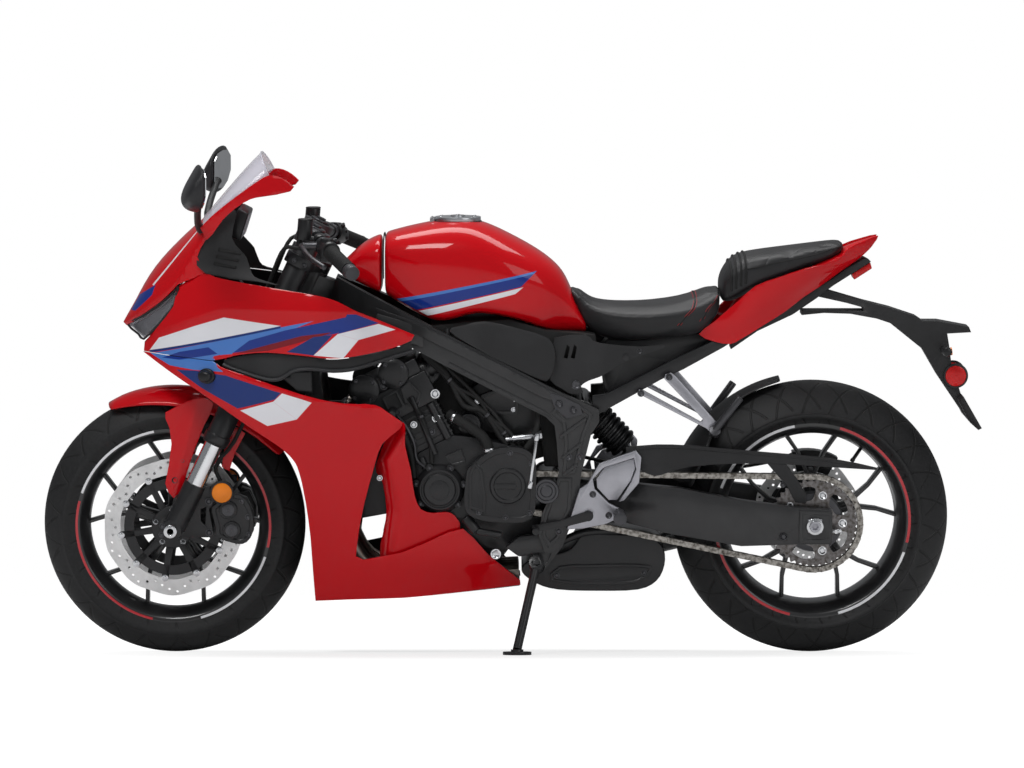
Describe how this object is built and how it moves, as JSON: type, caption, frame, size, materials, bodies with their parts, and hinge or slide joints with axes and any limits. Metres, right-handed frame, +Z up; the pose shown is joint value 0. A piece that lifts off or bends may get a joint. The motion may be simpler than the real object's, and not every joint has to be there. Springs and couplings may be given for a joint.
{
  "type": "sport motorcycle",
  "caption": "Faired sport motorcycle parked on its side stand, with turning wheels and steering, a folding stand and a hinged fuel cap.",
  "frame": {"origin": "on the floor, at the bottom centre of the bounding box of the leaning bike", "axes": "+X rearward, +Y to the rider's right, +Z up; the bike leans 9 degrees towards -Y on its side stand"},
  "size_m": [2.1269, 0.7942, 1.1844],
  "materials": {
    "alloy": "brushed and clear anodised",
    "amber": "amber lens",
    "black_metal": "satin black paint",
    "black_plastic": "fine grained black plastic",
    "chain_steel": "plated chain steel",
    "clear_screen": "clear moulded screen",
    "frame_paint": "satin dark grey paint",
    "lens": "clear lens over a reflector",
    "red_lens": "red lens",
    "red_paint": "gloss red paint with white and blue stripes",
    "rubber": "matt moulded rubber",
    "seat_cover": "grained black seat vinyl",
    "steel": "ground steel",
    "tyre_rubber": "matt tread rubber"
  },
  "bodies": {
    "chassis": {"main_frame": "frame_paint", "subframe": "black_metal", "crankcase": "black_metal", "cylinder_head": "black_metal", "engine_covers": "black_metal", "radiator": "black_metal", "exhaust_headers": "steel", "silencer": "black_metal", "swingarm": "black_metal", "rear_axle": "alloy", "rear_caliper": "black_metal", "shock_absorber": "black_metal", "chain": "chain_steel", "rear_hugger": "black_plastic", "fuel_tank": "red_paint", "tank_cover": "red_paint", "rider_seat": "seat_cover", "pillion_seat": "seat_cover", "tail_cowl": "red_paint", "undertail": "black_plastic", "number_plate_bracket": "black_plastic", "rear_lamps": "red_lens", "side_covers": "black_plastic", "fairing_stay": "black_metal", "nose_cowl": "red_paint", "windscreen": "clear_screen", "headlights": "lens", "inner_cowl": "black_plastic", "dashboard": "black_plastic", "mirrors": "black_plastic", "side_cowls": "red_paint", "side_ducts": "black_plastic", "lower_cowls": "red_paint", "belly_pan": "black_plastic", "footrest_brackets": "alloy", "footpegs": "steel", "foot_controls": "black_metal", "front_indicators": "black_plastic"},
    "steering": {"front_axle": "alloy", "fork_sliders": "black_metal", "fork_outer_tubes": "black_metal", "triple_clamp": "black_metal", "front_fender": "red_paint", "front_calipers": "black_metal", "fork_reflectors": "amber", "handlebars": "black_metal", "grips": "rubber", "switchgear": "black_plastic", "control_levers": "black_metal", "brake_hoses": "rubber"},
    "front_wheel": {"front_tyre": "tyre_rubber", "front_wheel_rim": "black_metal", "front_discs": "steel"},
    "rear_wheel": {"rear_tyre": "tyre_rubber", "rear_wheel_rim": "black_metal", "rear_disc": "steel", "rear_sprocket": "steel"},
    "side_stand": {"side_stand": "black_metal"},
    "fuel_cap": {"fuel_cap": "alloy"}
  },
  "joints": [
    {"name": "steering_turn", "type": "hinge", "parent": "chassis", "child": "steering", "pos_m": [-0.48268, 0.04514, 0.79652], "axis": [0.4305, -0.1412, 0.8915], "range_deg": [-30, 30]},
    {"name": "front_wheel_spin", "type": "hinge", "parent": "steering", "child": "front_wheel", "pos_m": [-0.7655, 0.12456, 0.29507], "axis": [0, 0.9877, 0.1564], "continuous": true},
    {"name": "rear_wheel_spin", "type": "hinge", "parent": "chassis", "child": "rear_wheel", "pos_m": [0.6845, 0.12215, 0.31032], "axis": [0, 0.9877, 0.1564], "continuous": true},
    {"name": "side_stand_fold", "type": "hinge", "parent": "chassis", "child": "side_stand", "pos_m": [0.0595, 0.00375, 0.20127], "axis": [0, -0.9135, 0.4067], "range_deg": [0, 100]},
    {"name": "fuel_cap_open", "type": "hinge", "parent": "chassis", "child": "fuel_cap", "pos_m": [-0.1765, 0.01564, 0.98275], "axis": [0, -0.9877, -0.1564], "range_deg": [0, 100]}
  ]
}
